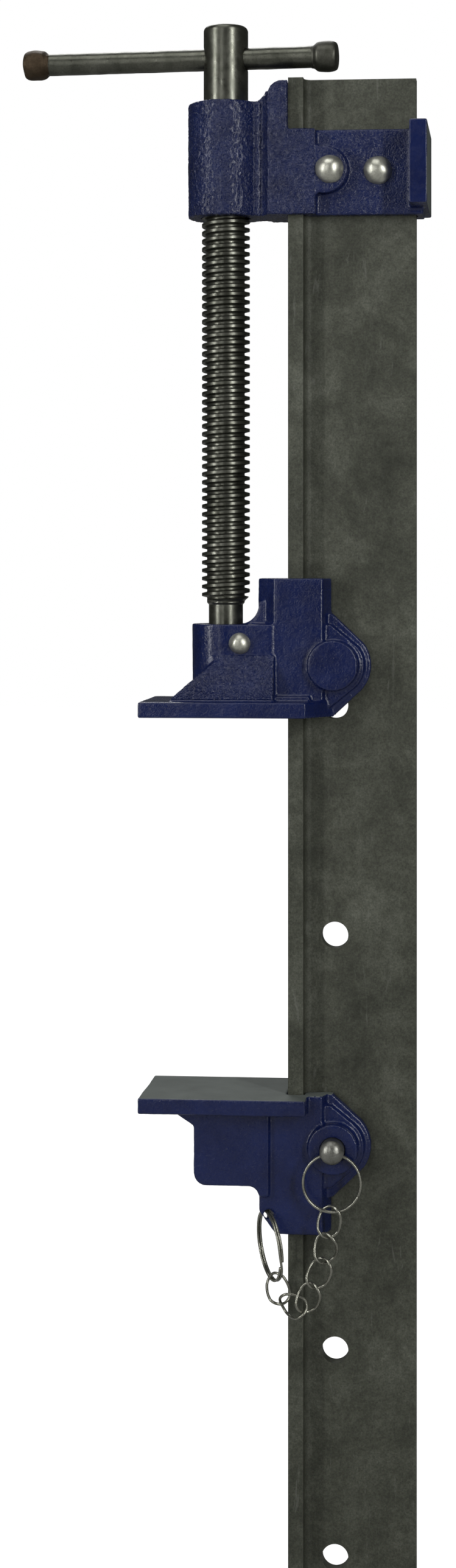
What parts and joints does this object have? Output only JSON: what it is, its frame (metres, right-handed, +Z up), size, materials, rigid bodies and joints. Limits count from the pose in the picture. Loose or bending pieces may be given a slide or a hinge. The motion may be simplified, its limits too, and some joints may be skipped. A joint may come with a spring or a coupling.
{
  "type": "t-bar sash clamp",
  "caption": "T-bar sash clamp: a screw in a riveted head drives a sliding jaw along a drilled T-bar towards a tail slide locked by a chained pin.",
  "frame": {"origin": "middle of the lowest adjusting hole of the T-bar, in the middle of the web", "axes": "X from the screw to the bar's back edge, Y across the bar along its holes, +Z up along the bar towards the screw head"},
  "size_m": [0.1627, 0.0455, 0.622],
  "materials": {
    "bar_steel": "mill-scale hot-rolled steel, oiled, matt, scuffed",
    "enamel": "dark blue gloss enamel over sand-cast iron",
    "rivet_steel": "bright polished steel domes",
    "screw_steel": "dark oiled turned steel",
    "cap_steel": "dark steel, brown with light rust",
    "pin_steel": "worn grey steel",
    "wire_steel": "bright plated wire"
  },
  "bodies": {
    "frame": {"t_bar": "bar_steel", "head_casting": "enamel", "head_rivet_front": "rivet_steel", "head_rivet_rear": "rivet_steel"},
    "sliding_jaw": {"sliding_jaw": "enamel", "spindle_retaining_pin": "rivet_steel"},
    "screw": {"screw_spindle": "screw_steel"},
    "tommy": {"tommy_bar": "screw_steel", "tommy_cap_left": "cap_steel", "tommy_cap_right": "screw_steel"},
    "tail_slide": {"tail_slide": "enamel", "chain_link_1": "wire_steel", "chain_link_2": "wire_steel", "chain_link_3": "wire_steel", "chain_link_4": "wire_steel", "chain_link_5": "wire_steel", "chain_link_6": "wire_steel"},
    "anchor_ring": {"anchor_ring": "wire_steel"},
    "locking_pin": {"locking_pin": "pin_steel"},
    "pin_ring": {"pin_ring": "wire_steel"}
  },
  "joints": [
    {"name": "jaw_slide", "type": "slide", "parent": "frame", "child": "sliding_jaw", "axis": [0, 0, 1], "range_m": [0, 0.13653]},
    {"name": "screw_turn", "type": "hinge", "parent": "sliding_jaw", "child": "screw", "pos_m": [-0.0436, 0, 0.45], "axis": [0, 0, 1], "range_deg": [0, 15480]},
    {"name": "tommy_slide", "type": "slide", "parent": "screw", "child": "tommy", "axis": [0.9976, -0.0698, 0], "range_m": [-0.025, 0.062]},
    {"name": "tail_shift", "type": "slide", "parent": "frame", "child": "tail_slide", "axis": [0, 0, 1], "range_m": [-0.0004, 0.0004]},
    {"name": "pin_pull", "type": "slide", "parent": "tail_slide", "child": "locking_pin", "axis": [0, -1, 0], "range_m": [0, 0.045], "deforming": ["chain_link_1", "chain_link_2", "chain_link_3", "chain_link_4", "chain_link_5", "chain_link_6"]},
    {"name": "pin_ring_swing", "type": "hinge", "parent": "locking_pin", "child": "pin_ring", "pos_m": [0, -0.0182, 0.1616], "axis": [1, 0, 0], "range_deg": [0, 30]},
    {"name": "anchor_ring_swing", "type": "hinge", "parent": "tail_slide", "child": "anchor_ring", "pos_m": [-0.02616, -0.01, 0.137], "axis": [-0.4049, 0.9135, -0.039], "range_deg": [0, 20]}
  ],
  "couplings": [
    {"joint": "jaw_slide", "follows": "screw_turn", "m_per_rad": 0.00050532},
    {"joint": "pin_ring_swing", "follows": "pin_pull", "rad_per_m": 11},
    {"joint": "anchor_ring_swing", "follows": "pin_pull", "rad_per_m": 2.5}
  ]
}
